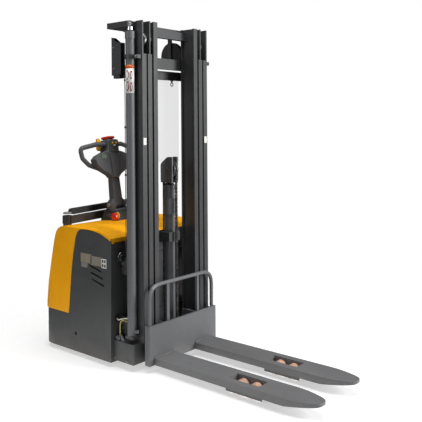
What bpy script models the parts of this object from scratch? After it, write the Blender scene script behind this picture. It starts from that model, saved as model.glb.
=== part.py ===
"""Walkie stacker: chassis, three-stage mast, forks, drive and tiller, one object per piece."""
import math

import bmesh
import bpy
from mathutils import Matrix, Vector

for old in list(bpy.data.objects):
    bpy.data.objects.remove(old, do_unlink=True)

# Driving sizes, metres. Lengths along the machine are measured from the fork heel, +X forward.
SHIFT = -0.0815                 # moves the heel so the whole machine is centred on the origin
GAP = 0.0003                    # clearance between neighbouring pieces
FORK_LEN, FORK_W, FORK_OVER = 1.163, 0.182, 0.570
FORK_TOP, FORK_T = 0.088, 0.043
PLATE_W, PLATE_Z0, PLATE_Z1 = 0.650, 0.043, 0.292
BODY_HALF, BODY_FRONT, SKIRT_REAR = 0.405, -0.272, -1.000
GROUND = 0.030
SHOE_TOP = 0.1735               # the uprights stand on two shoes bolted to the chassis
BARREL_FOOT = 0.224             # lower end of the side cylinders, on shelves outside the uprights
PLATE_UNDER = 2.180             # underside of the top plate that the side cylinders lift
POST_TOP = 0.8715               # folding side arms turn on two short posts
SKIRT_TOP = 0.274
RAIL_FRONT, RAIL_REAR, FLANGE_T = -0.058, -0.180, 0.014
MAST_TOP = 2.220
CUT_BACK = 2.010
SIDE_X, SIDE_Y, SIDE_R = -0.1335, 0.348, 0.029
MID_X, MID_R = -0.130, 0.0365
SHEAVE_X, SHEAVE_Z, SHEAVE_R = -0.121, 1.262, 0.052
STEER_X = -0.660
ROLLER_X = (0.620, 0.717)
ROLLER_R = 0.0385


def material(name, colour, metal, rough):
    mat = bpy.data.materials.new(name)
    mat.use_nodes = True
    shader = mat.node_tree.nodes["Principled BSDF"]
    shader.inputs["Base Color"].default_value = (*colour, 1.0)
    shader.inputs["Metallic"].default_value = metal
    shader.inputs["Roughness"].default_value = rough
    return mat


def link(name, bm):
    mesh = bpy.data.meshes.new(name)
    bmesh.ops.recalc_face_normals(bm, faces=bm.faces)
    bm.to_mesh(mesh)
    bm.free()
    ob = bpy.data.objects.new(name, mesh)
    bpy.context.scene.collection.objects.link(ob)
    return ob


def box(x0, x1, y0, y1, z0, z1):
    bm = bmesh.new()
    bmesh.ops.create_cube(bm, size=1.0)
    for v in bm.verts:
        v.co = Vector(((x0 + x1) / 2 + v.co.x * (x1 - x0),
                       (y0 + y1) / 2 + v.co.y * (y1 - y0),
                       (z0 + z1) / 2 + v.co.z * (z1 - z0)))
    return link("tmp", bm)


def prism(points, axis, a, b):
    """Extrude a flat outline from a to b. Outline is (x,z) for y, (x,y) for z, (y,z) for x."""
    place = {"y": lambda p, t: (p[0], t, p[1]),
             "z": lambda p, t: (p[0], p[1], t),
             "x": lambda p, t: (t, p[0], p[1])}[axis]
    bm = bmesh.new()
    face = bm.faces.new([bm.verts.new(place(p, a)) for p in points])
    made = bmesh.ops.extrude_face_region(bm, geom=[face])
    step = Vector(place((0, 0), b)) - Vector(place((0, 0), a))
    bmesh.ops.translate(bm, verts=[v for v in made["geom"] if isinstance(v, bmesh.types.BMVert)], vec=step)
    return link("tmp", bm)


def rod(p0, p1, r0, r1=None, seg=24):
    p0, p1 = Vector(p0), Vector(p1)
    way = p1 - p0
    bm = bmesh.new()
    turn = Vector((0, 0, 1)).rotation_difference(way).to_matrix().to_4x4()
    bmesh.ops.create_cone(bm, cap_ends=True, segments=seg, radius1=r0,
                          radius2=r0 if r1 is None else r1, depth=way.length,
                          matrix=Matrix.Translation((p0 + p1) / 2) @ turn)
    return link("tmp", bm)


def wheel(cx, cy, cz, half, radius, bore, seg=32, crown=0.0):
    """Turned wheel about Y, spun from its section; bore 0 makes it solid on its axis."""
    inner = bore if bore else 0.0
    sec = [(inner, -half), (radius - crown, -half), (radius, -half + crown * 1.4),
           (radius, half - crown * 1.4), (radius - crown, half), (inner, half)]
    if not crown:
        sec = [(inner, -half), (radius, -half), (radius, half), (inner, half)]
    bm = bmesh.new()
    rings = []
    for k in range(seg):
        a = 2 * math.pi * k / seg
        rings.append([bm.verts.new((cx + r * math.cos(a), cy + t, cz + r * math.sin(a)))
                      for r, t in sec if r > 0])
    n = len(rings[0])
    for k in range(seg):
        a, b = rings[k], rings[(k + 1) % seg]
        for i in range(n - (0 if bore else 1)):
            j = (i + 1) % n
            bm.faces.new((a[i], a[j], b[j], b[i]))
    if not bore:
        bm.faces.new([r[0] for r in rings])
        bm.faces.new([r[-1] for r in reversed(rings)])
    return link("tmp", bm)


def pipe(points, radius, bend=0.0, seg=10, steps=5, closed=False):
    """Round bar along a bent path, corners turned with the given bend radius."""
    pts = [Vector(p) for p in points]
    path = []
    n = len(pts)
    for i, p in enumerate(pts):
        if not closed and i in (0, n - 1):
            path.append(p)
            continue
        a, b = pts[i - 1], pts[(i + 1) % n]
        u, v = (a - p).normalized(), (b - p).normalized()
        angle = u.angle(v)
        cut = min(bend / math.tan(angle / 2) if bend else 0, (a - p).length * 0.49, (b - p).length * 0.49)
        if cut < 1e-5:
            path.append(p)
            continue
        for k in range(steps + 1):
            t = k / steps
            path.append((p + u * cut) * (1 - t) ** 2 + p * 2 * t * (1 - t) + (p + v * cut) * t ** 2)
    curve = bpy.data.curves.new("path", "CURVE")
    curve.dimensions = "3D"
    curve.bevel_depth = radius
    curve.bevel_resolution = max(0, seg // 4 - 1)
    curve.use_fill_caps = True
    line = curve.splines.new("POLY")
    line.points.add(len(path) - 1)
    for spot, p in zip(line.points, path):
        spot.co = (*p, 1.0)
    line.use_cyclic_u = closed
    holder = bpy.data.objects.new("path", curve)
    bpy.context.scene.collection.objects.link(holder)
    view = bpy.context.evaluated_depsgraph_get()
    mesh = bpy.data.meshes.new_from_object(holder.evaluated_get(view))
    bpy.data.objects.remove(holder, do_unlink=True)
    bm = bmesh.new()
    bm.from_mesh(mesh)
    bmesh.ops.remove_doubles(bm, verts=bm.verts, dist=0.00005)
    return link("tmp", bm)


def fillet(points, radii, steps=4):
    """Round the corners of a flat outline; radii is one number or one per corner."""
    out = []
    n = len(points)
    for i, p in enumerate(points):
        r = radii[i] if isinstance(radii, (list, tuple)) else radii
        p = Vector(p)
        a, b = Vector(points[i - 1]), Vector(points[(i + 1) % n])
        u, v = (a - p).normalized(), (b - p).normalized()
        cut = min(r, (a - p).length * 0.49, (b - p).length * 0.49)
        if cut < 1e-4:
            out.append(tuple(p))
            continue
        for k in range(steps + 1):
            t = k / steps
            out.append(tuple((p + u * cut) * (1 - t) ** 2 + p * 2 * t * (1 - t) + (p + v * cut) * t ** 2))
    return out


def bake(ob):
    view = bpy.context.evaluated_depsgraph_get()
    mesh = bpy.data.meshes.new_from_object(ob.evaluated_get(view))
    ob.modifiers.clear()
    ob.data = mesh
    return ob


def combine(base, others, how):
    if not others:
        return base
    group = bpy.data.collections.new("operands")
    bpy.context.scene.collection.children.link(group)
    for other in others:
        group.objects.link(other)
    mod = base.modifiers.new("join", "BOOLEAN")
    mod.operation = how
    mod.solver = "EXACT"
    mod.operand_type = "COLLECTION"
    mod.collection = group
    bake(base)
    for other in others:
        bpy.data.objects.remove(other, do_unlink=True)
    bpy.data.collections.remove(group)
    return base


def solid(parts, cuts=()):
    ob = combine(parts[0], list(parts[1:]), "UNION")
    return combine(ob, list(cuts), "DIFFERENCE")


def soften(ob, width, segments=1, angle=40):
    mod = ob.modifiers.new("edge", "BEVEL")
    mod.width = width
    mod.segments = segments
    mod.limit_method = "ANGLE"
    mod.angle_limit = math.radians(angle)
    mod.use_clamp_overlap = True
    return bake(ob)


def node(name, ob, mat, at=(0, 0, 0), round_shade=False):
    """Finish a piece: tidy its mesh, put its origin on its own axis, and give it its material."""
    bm = bmesh.new()
    bm.from_mesh(ob.data)
    bmesh.ops.remove_doubles(bm, verts=bm.verts, dist=0.00002)
    bmesh.ops.dissolve_limit(bm, angle_limit=math.radians(0.5), verts=bm.verts, edges=bm.edges)
    bmesh.ops.dissolve_degenerate(bm, dist=0.00002, edges=bm.edges)
    bmesh.ops.translate(bm, verts=bm.verts, vec=-Vector(at))
    bmesh.ops.recalc_face_normals(bm, faces=bm.faces)
    bm.to_mesh(ob.data)
    bm.free()
    ob.name = ob.data.name = name
    ob.location = Vector(at) + Vector((SHIFT, 0, 0))
    ob.data.materials.clear()
    ob.data.materials.append(mat)
    if round_shade:
        ob.data.shade_smooth()
        ob.data.set_sharp_from_angle(angle=math.radians(35))
    return ob


GREY = material("mast_grey", (0.13, 0.135, 0.14), 0.0, 0.45)
DARK = material("panel_grey", (0.045, 0.047, 0.05), 0.0, 0.5)
YELLOW = material("hood_yellow", (0.86, 0.42, 0.01), 0.0, 0.35)
BLACK = material("black_plastic", (0.02, 0.02, 0.022), 0.0, 0.55)
HEADGREY = material("tiller_grey", (0.09, 0.09, 0.095), 0.0, 0.5)
CHROME = material("chrome", (0.8, 0.8, 0.8), 1.0, 0.15)
STEEL = material("steel", (0.45, 0.45, 0.46), 1.0, 0.4)
RED = material("signal_red", (0.6, 0.02, 0.015), 0.0, 0.4)
TAN = material("polyurethane", (0.55, 0.28, 0.1), 0.0, 0.5)
CLEAR = material("clear_sheet", (0.9, 0.92, 0.93), 0.0, 0.1)
SIDES = (("right", -1), ("left", 1))


def span(s, a, b):
    """A pair of y limits on side s (-1 right, +1 left) from two distances off the centre line."""
    return (a * s, b * s) if s > 0 else (-b, -a)


# ---------------------------------------------------------------- mast
def channel(s, web, out, inn, z0, z1):
    """Rail section: web between web[0] and web[1], both flanges from inn to out off centre."""
    y0, y1 = span(s, *web)
    f0, f1 = span(s, inn, out)
    return [box(RAIL_REAR, RAIL_FRONT, y0, y1, z0, z1),
            box(RAIL_REAR, RAIL_REAR + FLANGE_T, f0, f1, z0, z1),
            box(RAIL_FRONT - FLANGE_T, RAIL_FRONT, f0, f1, z0, z1)]


parts, cuts = [], []
for _, s in SIDES:
    parts += channel(s, (0.303, 0.315), 0.315, 0.277, SHOE_TOP + GAP, MAST_TOP)
    for z0, z1 in ((1.872, 1.932), (0.600, 0.690), (0.210, 0.300)):
        parts.append(box(-0.268, -0.170, *span(s, 0.3045, 0.315), z0 - 0.01, z1 + 0.01))
    cuts.append(box(RAIL_FRONT - 0.0145, -0.05, *span(s, 0.270, 0.3032), CUT_BACK, 2.3))
    cuts.append(box(-0.200, -0.1185, *span(s, 0.270, 0.320), PLATE_UNDER - 0.0035, 2.3))
    parts.append(rod((SIDE_X, SIDE_Y * s, 1.976), (SIDE_X, SIDE_Y * s, 2.004), 0.036))
    parts.append(box(-0.125, -0.066, *span(s, 0.3145, 0.350), 1.978, 2.002))
    parts.append(box(-0.165, -0.100, *span(s, 0.3145, 0.377), 0.204, BARREL_FOOT - GAP))
    parts.append(rod((-0.119, 0.2774 * s, 2.105), (-0.119, 0.305 * s, 2.105), 0.011, seg=16))
    cuts.append(rod((SIDE_X, SIDE_Y * s, 1.5), (SIDE_X, SIDE_Y * s, 2.1), SIDE_R + GAP, seg=32))
for z0, z1 in ((1.872, 1.932), (0.600, 0.690), (0.210, 0.300)):
    parts.append(box(-0.268, -0.248, -0.310, 0.310, z0, z1))
node("outer_mast", solid(parts, cuts), GREY)
node("mast_guard", box(-0.2715, -0.2683, -0.250, 0.250, 1.300, 1.928), CLEAR)

parts, cuts = [], []
for _, s in SIDES:
    parts += channel(s, (0.241, 0.251), 0.264, 0.228, 0.050, MAST_TOP)
    cuts.append(box(RAIL_FRONT - 0.0145, -0.05, *span(s, 0.220, 0.2408), CUT_BACK, 2.3))
    cuts.append(box(RAIL_FRONT - 0.0145, -0.05, *span(s, 0.2512, 0.270), CUT_BACK, 2.3))
    parts.append(box(-0.200, -0.121, *span(s, 0.2285, 0.378), PLATE_UNDER, PLATE_UNDER + 0.036))
    parts.append(box(-0.200, -0.170, *span(s, 0.2285, 0.2365), 1.936, 2.010))
    parts.append(rod((-0.119, 0.2264 * s, 2.105), (-0.119, 0.244 * s, 2.105), 0.011, seg=16))
    parts.append(box(-0.200, -0.170, *span(s, 0.2285, 0.2365), 0.100, 0.170))
parts.append(box(-0.316, -0.184, -0.378, 0.378, PLATE_UNDER, PLATE_UNDER + 0.036))
parts.append(box(-0.200, -0.184, -0.2365, 0.2365, 1.936, 2.010))
parts.append(box(-0.200, -0.184, -0.2365, 0.2365, 0.100, 0.170))
parts.append(box(-0.313, -0.283, 0.186, 0.2000, 2.030, 2.190))
parts.append(rod((-0.298, 0.190, 2.050), (-0.298, 0.233, 2.050), 0.008, seg=16))
parts.append(rod((-0.298, 0.190, 2.050), (-0.298, 0.2005, 2.050), 0.018, seg=16))
node("middle_mast", solid(parts, cuts), GREY)

parts, cuts = [], []
for _, s in SIDES:
    parts += channel(s, (0.190, 0.200), 0.213, 0.177, 0.060, MAST_TOP)
parts.append(box(-0.175, -0.140, -0.195, 0.195, 2.140, 2.195))
parts.append(box(-0.1795, -0.1695, -0.195, 0.195, 0.770, 0.850))
parts.append(box(-0.1795, -0.1695, -0.195, 0.195, 0.062, 0.130))
parts.append(box(-0.1722, -0.085, -0.052, 0.052, 0.780, 0.842))
parts.append(box(-0.1722, -0.085, -0.046, 0.046, 0.064, 0.0895))
cuts.append(rod((MID_X, 0, 0.5), (MID_X, 0, 1.2), MID_R + GAP, seg=32))
cuts.append(box(-0.190, -0.1722, -0.014, 0.014, 0.130, 1.0))
node("inner_mast", solid(parts, cuts), GREY)

for side, s in SIDES:
    y = SIDE_Y * s
    barrel = solid([rod((SIDE_X, y, BARREL_FOOT), (SIDE_X, y, 2.117), SIDE_R, seg=32),
                    rod((SIDE_X, y, BARREL_FOOT), (SIDE_X, y, 0.340), 0.0300, seg=32),
                    rod((SIDE_X, y, 2.105), (SIDE_X, y, 2.151), 0.0322, seg=32),
                    rod((SIDE_X, y, 0.254), (SIDE_X + 0.042, y, 0.254), 0.011, seg=16)],
                   [rod((SIDE_X, y, 0.280), (SIDE_X, y, 2.2), 0.0196, seg=24)])
    node("lift_cylinder_" + side, barrel, GREY, round_shade=True)
    stem = solid([rod((SIDE_X, y, 0.560), (SIDE_X, y, PLATE_UNDER - GAP), 0.019, seg=24)])
    node("lift_rod_" + side, stem, CHROME, round_shade=True)

tube = solid([rod((MID_X, 0, 0.0898), (MID_X, 0, 1.118), MID_R, seg=32),
              rod((MID_X, 0, 0.963), (MID_X, 0, 1.067), 0.0440, seg=32),
              rod((MID_X, 0, 1.118), (MID_X, 0, 1.156), 0.0385, seg=32)],
             [rod((MID_X, 0, 0.120), (MID_X, 0, 1.2), 0.0256, seg=24)])
node("free_lift_cylinder", tube, GREY, round_shade=True)

cheek = fillet([(-0.1815, 1.186), (-0.076, 1.186), (-0.076, 1.345), (-0.118, 1.345), (-0.1815, 1.298)],
               [0.004, 0.004, 0.006, 0.012, 0.012], 2)
head = solid([rod((MID_X, 0, 0.480), (MID_X, 0, 1.188), 0.025, seg=24),
              box(-0.1800, -0.0780, -0.0305, 0.0305, 1.172, 1.190),
              prism(cheek, "y", -0.031, -0.0195), prism(cheek, "y", 0.0195, 0.031),
              rod((SHEAVE_X, -0.035, SHEAVE_Z), (SHEAVE_X, 0.035, SHEAVE_Z), 0.0125, seg=16)],
             [box(-0.190, -0.170, -0.013, 0.013, 1.160, 1.200)])
node("free_lift_head", head, GREY)

sheave = solid([wheel(SHEAVE_X, 0, SHEAVE_Z, 0.0120, 0.0515, 0.0128, 28),
                wheel(SHEAVE_X, 0.0145, SHEAVE_Z, 0.0035, 0.060, 0.0128, 28),
                wheel(SHEAVE_X, -0.0145, SHEAVE_Z, 0.0035, 0.060, 0.0128, 28)])
node("chain_sheave", sheave, STEEL, (SHEAVE_X, 0, SHEAVE_Z), True)

hose_wheel = solid([wheel(-0.298, 0.216, 2.050, 0.015, 0.095, 0.0083, 32)],
                   [wheel(-0.298, 0.216, 2.050, 0.010, 0.12, 0.082, 32)])
node("hose_sheave", hose_wheel, BLACK, (-0.298, 0.216, 2.050), True)

# guide rollers running inside the rail sections, each on a short stub from the stage that carries it
for label, y, z in (("outer_roller", 0.2645, 2.105), ("middle_roller", 0.2135, 2.105)):
    for side, s in SIDES:
        part = wheel(-0.119, y * s, z, 0.0125, 0.0455, 0, 20, 0.002)
        node(label + "_" + side, part, STEEL, (-0.119, y * s, z), True)

# ---------------------------------------------------------------- carriage and forks
def fork(s):
    y0, y1 = span(s, FORK_OVER / 2 - FORK_W, FORK_OVER / 2)
    mid, half = (y0 + y1) / 2, FORK_W / 2
    plan = [(-0.020, y0), (FORK_LEN - 0.165, y0), (FORK_LEN - 0.050, y0 + 0.030), (FORK_LEN, mid - 0.036),
            (FORK_LEN, mid + 0.036), (FORK_LEN - 0.050, y1 - 0.030), (FORK_LEN - 0.165, y1), (-0.020, y1)]
    body = prism(fillet(plan, [0, 0.06, 0.04, 0.03, 0.03, 0.04, 0.06, 0], 3), "z", FORK_TOP - FORK_T, FORK_TOP)
    ramp = prism([(FORK_LEN - 0.200, 0.020), (FORK_LEN - 0.200, 0.0449), (FORK_LEN + 0.02, 0.074),
                  (FORK_LEN + 0.02, 0.020)], "y", y0 - 0.01, y1 + 0.01)
    under = box(0.060, FORK_LEN - 0.230, y0 + 0.010, y1 - 0.010, 0.030, FORK_TOP - 0.010)
    window = box(0.560, 0.777, mid - 0.043, mid + 0.043, 0.030, 0.120)
    rails = []
    for off in (-0.0475, 0.0425):
        rails.append(box(0.540, 0.797, mid + off, mid + off + 0.005, 0.010, FORK_TOP - 0.008))
    for x in (0.5565, 0.7755):
        rails.append(box(x, x + 0.005, mid - 0.0475, mid + 0.0475, 0.010, FORK_TOP - 0.008))
    pins = [rod((x, mid - 0.046, ROLLER_R), (x, mid + 0.046, ROLLER_R), 0.0075, seg=12)
            for x in ROLLER_X]
    return [body], [ramp, under, window], rails, pins


blades = []
for _, s in SIDES:
    a, b, rails, pins = fork(s)
    blade = solid(a, b)
    blades.append(combine(blade, rails + pins, "UNION"))
plate = solid([box(-0.016, 0.0, -0.3235, 0.3205, PLATE_Z0, PLATE_Z1),
               box(-0.042, 0.0, -0.325, -0.313, PLATE_Z0, PLATE_Z1),
               box(-0.042, 0.0, 0.313, 0.325, PLATE_Z0, PLATE_Z1),
               box(-0.045, 0.0, -0.170, 0.170, 0.060, 0.100),
               box(-0.045, 0.0, -0.170, 0.170, 0.230, 0.275),
               box(-0.076, -0.014, -0.020, 0.020, 0.232, 0.262)]
              + [box(-0.160, -0.010, *span(s, 0.150, 0.165), 0.060, 0.280) for _, s in SIDES]
              + [rod((-0.119, 0.160 * s, z), (-0.119, 0.1852 * s, z), 0.010, seg=16)
                 for _, s in SIDES for z in (0.105, 0.235)])
carriage = combine(plate, blades, "UNION")
node("fork_carriage", carriage, GREY)

guard = [pipe([(-0.021, -0.3045, 0.2923), (-0.021, -0.3045, 0.541), (-0.021, 0.3045, 0.541),
               (-0.021, 0.3045, 0.2923)], 0.0125, 0.095, 12, 6)]
for y in (-0.137, 0.156):
    guard.append(box(-0.027, -0.015, y - 0.011, y + 0.011, 0.2923, 0.541))
node("load_backrest", solid(guard), GREY, round_shade=True)

for side, s in SIDES:
    mid = s * (FORK_OVER - FORK_W) / 2
    for label, x in zip(("rear", "front"), ROLLER_X):
        part = wheel(x, mid, ROLLER_R, 0.034, ROLLER_R, 0.0082, 24, 0.002)
        node("load_roller_%s_%s" % (side, label), part, TAN, (x, mid, ROLLER_R), True)
    for label, z in (("lower", 0.105), ("upper", 0.235)):
        part = wheel(-0.119, 0.1765 * s, z, 0.0105, 0.0455, 0.0103, 20, 0.0015)
        node("carriage_roller_%s_%s" % (side, label), part, STEEL, (-0.119, 0.1765 * s, z), True)


# ---------------------------------------------------------------- chassis and covers
def offset(points, d):
    """Move a closed outline inwards by d, corners mitred."""
    area = sum(points[i - 1][0] * points[i][1] - points[i][0] * points[i - 1][1] for i in range(len(points)))
    turn = 1 if area > 0 else -1
    out = []
    for i, p in enumerate(points):
        p = Vector(p)
        u = (p - Vector(points[i - 1])).normalized()
        v = (Vector(points[(i + 1) % len(points)]) - p).normalized()
        nu, nv = Vector((-u.y, u.x)) * turn, Vector((-v.y, v.x)) * turn
        m = (nu + nv).normalized()
        out.append(tuple(p + m * (d / max(0.4, m.dot(nu)))))
    return out


SIDE_TOP = [(-0.262, 0.806), (-0.300, 0.823), (-0.339, 0.838), (-0.380, 0.851), (-0.430, 0.860), (-0.490, 0.864),
            (-0.555, 0.862), (-0.585, 0.854), (-0.604, 0.836), (-0.620, 0.800)]
SIDE_BACK = [(-0.645, 0.690), (-0.665, 0.571), (-0.680, 0.440), (-0.690, 0.337), (-0.700, SKIRT_TOP)]
PROFILE = [(-0.976, SKIRT_TOP + 0.002), (-0.977, 0.300), (-0.966, 0.316), (-0.955, 0.330), (-0.928, 0.461),
           (-0.892, 0.610), (-0.857, 0.758), (-0.846, 0.795), (-0.832, 0.825), (-0.812, 0.848), (-0.780, 0.863),
           (-0.700, 0.876),
           (-0.580, 0.885), (-0.500, 0.887), (-0.420, 0.881), (-0.350, 0.862), (-0.300, 0.842), (BODY_FRONT, 0.828)]


def plan(front, rear, half, radius):
    return fillet([(front, -half), (front, half), (rear, half), (rear, -half)], [0.0, 0.0, radius, radius], 6)


def hood_volume(t):
    """Everything inside the yellow covers, inset by t."""
    top = PROFILE + [(BODY_FRONT, 0.200), (PROFILE[0][0], 0.200)]
    line = offset(top, t) if t else PROFILE + [(BODY_FRONT, SKIRT_TOP + 0.002)]
    vol = prism(line, "y", -0.5, 0.5)
    rim = plan(BODY_FRONT - t, SKIRT_REAR - 0.012, BODY_HALF - t, 0.120)
    lens = [(-0.45, 0.1), (-0.45, 0.850 - t), (-0.405, 0.868 - t), (-0.388, 0.880 - t), (-0.340, 0.888 - t),
            (0.340, 0.888 - t), (0.388, 0.880 - t), (0.405, 0.868 - t), (0.45, 0.850 - t), (0.45, 0.1)]
    vol = combine(vol, [prism(rim, "z", 0.1, 1.0)], "INTERSECT")
    return combine(vol, [prism(lens, "x", -1.1, 0.0)], "INTERSECT")


def hood_shell():
    shell = combine(hood_volume(0.0), [hood_volume(0.004)], "DIFFERENCE")
    keep = [(-0.200, SIDE_TOP[0][1] - 0.004)] + SIDE_TOP + SIDE_BACK + [(-0.703, 0.150), (-0.200, 0.150)]
    grown = offset(keep, -0.003)
    return combine(shell, [prism(grown, "y", 0.392, 0.5), prism(grown, "y", -0.5, -0.392)], "DIFFERENCE")


outline = [(-0.272, GROUND)] + SIDE_TOP + SIDE_BACK + [(-0.700, GROUND)]
skirt = combine(prism(plan(BODY_FRONT, SKIRT_REAR, BODY_HALF, 0.120), "z", GROUND, SKIRT_TOP),
                [prism(plan(BODY_FRONT - 0.006, SKIRT_REAR + 0.006, BODY_HALF - 0.006, 0.114),
                       "z", 0.0, 0.5)], "DIFFERENCE")
parts, cuts = [skirt], []
for _, s in SIDES:
    parts.append(prism(outline, "y", *span(s, 0.399, 0.405)))
    parts.append(box(-0.285, -0.092, *span(s, 0.2665, 0.378), GROUND + 0.015, SHOE_TOP))
    parts.append(box(-0.640, -0.560, *span(s, 0.255, 0.345), 0.196, 0.302))
    cuts.append(rod((-0.625, 0.39 * s, 0.152), (-0.625, 0.42 * s, 0.152), 0.012, seg=20))
    for k in range(3):
        x, z = -0.478 + 0.012 * k, 0.627 - 0.044 * k
        slot = [(x, z), (x + 0.121, z - 0.029), (x + 0.121, z - 0.018), (x, z + 0.011)]
        cuts.append(prism(slot, "y", *span(s, 0.390, 0.420)))
parts += [box(-0.278, BODY_FRONT, -0.404, 0.404, GROUND, 0.790),
          box(-0.285, -0.262, -0.270, 0.270, GROUND, 0.060),
          box(-0.503, -0.497, -0.402, 0.402, 0.100, 0.790),
          box(-0.500, -0.274, -0.402, 0.402, 0.140, 0.146),
          box(-0.850, -0.500, -0.390, 0.390, 0.300, 0.308),
          box(SKIRT_REAR + 0.003, -0.800, -0.050, 0.050, 0.240, 0.270),
          box(-0.860, -0.800, -0.050, 0.050, 0.240, 0.304)]
cuts.append(rod((STEER_X, 0, 0.25), (STEER_X, 0, 0.35), 0.0905, seg=32))
cuts.append(rod((-0.300, -0.355, 0.310), (-0.250, -0.355, 0.310), 0.020, seg=16))
node("chassis", solid(parts, cuts), DARK)

cover = hood_shell()
cover = combine(cover, [box(-0.5015, 0.0, -0.6, 0.6, 0.0, 1.2),
                        box(-0.7435, -0.5505, -0.0895, 0.0895, 0.80, 1.0)]
                + [rod((-0.810, 0.325 * s, 0.75), (-0.810, 0.325 * s, 0.95), 0.0305, seg=24) for _, s in SIDES],
                "DIFFERENCE")
node("rear_cover", cover, YELLOW)
lid = combine(hood_shell(), [box(-1.2, -0.4985, -0.6, 0.6, 0.0, 1.2), box(-1.2, 0.0, -0.6, 0.6, 0.0, 0.7935)],
              "DIFFERENCE")
node("battery_lid", lid, YELLOW, (-0.500, 0, 0.8895))

cells = [box(-0.488, -0.290, -0.330, 0.330, 0.1465, 0.680)]
for i in range(12):
    cx, cy = (-0.435 if i % 2 else -0.343), -0.275 + 0.11 * (i // 2)
    cells.append(box(cx - 0.043, cx + 0.043, cy - 0.051, cy + 0.051, 0.675, 0.712))
    cells.append(rod((cx, cy, 0.705), (cx, cy, 0.724), 0.016, seg=8))
node("battery", solid(cells), BLACK)
node("battery_plug", soften(solid([box(-0.470, -0.310, 0.345, 0.385, 0.640, 0.700),
                                   rod((-0.390, 0.365, 0.560), (-0.390, 0.365, 0.645), 0.014, seg=12)]), 0.003), RED)
tank = soften(box(-0.700, -0.560, -0.380, -0.130, 0.3085, 0.520), 0.012, 2)
node("oil_tank", solid([tank, rod((-0.650, -0.300, 0.51), (-0.650, -0.300, 0.545), 0.024, seg=20)]), BLACK)
pump = solid([box(-0.690, -0.580, -0.320, -0.200, 0.5455, 0.600),
              rod((-0.635, -0.235, 0.590), (-0.635, -0.235, 0.790), 0.052, seg=28),
              rod((-0.580, -0.290, 0.572), (-0.560, -0.290, 0.572), 0.012, seg=12)])
node("pump_unit", pump, BLACK)
fins = [box(-0.540, -0.5035, 0.120, 0.340, 0.420, 0.640)]
for i in range(9):
    fins.append(box(-0.562, -0.535, 0.130 + 0.024 * i, 0.136 + 0.024 * i, 0.430, 0.630))
node("drive_controller", solid(fins), STEEL)

# ---------------------------------------------------------------- drive wheel, casters
WHEEL_R = 0.115
unit = solid([rod((STEER_X, 0, 0.262), (STEER_X, 0, 0.330), 0.088, seg=32),
              rod((STEER_X, 0, 0.320), (STEER_X, 0, 0.600), 0.070, seg=32),
              box(STEER_X - 0.055, STEER_X + 0.055, 0.042, 0.082, 0.075, 0.270),
              rod((STEER_X, 0.042, WHEEL_R), (STEER_X, 0.082, WHEEL_R), 0.055, seg=28),
              rod((STEER_X, -0.034, WHEEL_R), (STEER_X, 0.060, WHEEL_R), 0.020, seg=20)])
node("drive_unit", unit, BLACK, (STEER_X, 0, 0))
tyre = solid([wheel(STEER_X, 0, WHEEL_R, 0.036, WHEEL_R, 0.0204, 32, 0.005)],
             [rod((STEER_X + 0.058 * math.cos(a), -0.05, WHEEL_R + 0.058 * math.sin(a)),
                  (STEER_X + 0.058 * math.cos(a), -0.024, WHEEL_R + 0.058 * math.sin(a)), 0.012, seg=10)
              for a in [2 * math.pi * k / 5 for k in range(5)]])
node("drive_wheel", tyre, TAN, (STEER_X, 0, WHEEL_R), True)
for side, s in SIDES:
    x, y, r = -0.600, 0.300 * s, 0.0625
    ax = x - 0.032
    yoke = solid([rod((x, y, 0.168), (x, y, 0.1955), 0.040, seg=24),
                  box(x - 0.048, x + 0.026, y - 0.042, y + 0.042, 0.142, 0.170),
                  box(x - 0.050, x + 0.010, y - 0.042, y - 0.036, 0.045, 0.160),
                  box(x - 0.050, x + 0.010, y + 0.036, y + 0.042, 0.045, 0.160),
                  rod((ax, y - 0.045, r), (ax, y + 0.045, r), 0.008, seg=12)])
    node("caster_fork_" + side, yoke, STEEL, (x, y, 0.19))
    node("caster_wheel_" + side, wheel(ax, y, r, 0.027, r, 0.0083, 24, 0.004), TAN, (ax, y, r), True)

# ---------------------------------------------------------------- console, tiller
PIVOT = Vector((STEER_X, 0, 0.985))
STOP_X, KEY_X, STOP_Z = -0.568, -0.645, 0.915
LEAN = Matrix.Translation(PIVOT) @ Matrix.Rotation(math.radians(-8), 4, "Y")


def lean(ob):
    ob.data.transform(LEAN)
    return ob


def lean_point(a, y, h):
    return tuple(LEAN @ Vector((a, y, h)))


foot = fillet([(-0.742, -0.088), (-0.552, -0.088), (-0.552, 0.088), (-0.742, 0.088)], 0.030, 4)
skirt = prism(foot, "z", 0.880, 0.945)
for v in skirt.data.vertices:
    if v.co.z > 0.9:
        v.co.x, v.co.y = STEER_X + (v.co.x - STEER_X) * 0.80, v.co.y * 0.80
pod = combine(solid([prism(offset(foot, -0.001), "z", 0.840, 0.887), soften(skirt, 0.005, 2, 60)]),
              [rod((STEER_X, 0, 0.8), (STEER_X, 0, 1.0), 0.0355, seg=28),
               rod((STOP_X, -0.12, STOP_Z), (STOP_X, -0.064, STOP_Z), 0.0125, seg=16),
               rod((KEY_X, -0.12, STOP_Z), (KEY_X, -0.067, STOP_Z), 0.0092, seg=16)], "DIFFERENCE")
node("tiller_console", pod, BLACK)
turret = solid([rod((STEER_X, 0, 0.6005), (STEER_X, 0, 0.950), 0.035, seg=28),
                rod((STEER_X, 0, 0.9455), (STEER_X, 0, 0.990), 0.068, seg=36),
                rod((STEER_X, 0, 0.986), (STEER_X, 0, 1.012), 0.0674, 0.061, seg=36),
                rod((STEER_X, 0, 1.009), (STEER_X, 0, 1.028), 0.0608, 0.049, seg=36),
                rod((STEER_X, -0.073, 0.985), (STEER_X, 0.073, 0.985), 0.015, seg=20)],
               [box(-0.80, -0.50, -0.0455, 0.0455, 0.9585, 1.1)])
node("steering_turret", turret, HEADGREY, (STEER_X, 0, 0.9))

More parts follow.
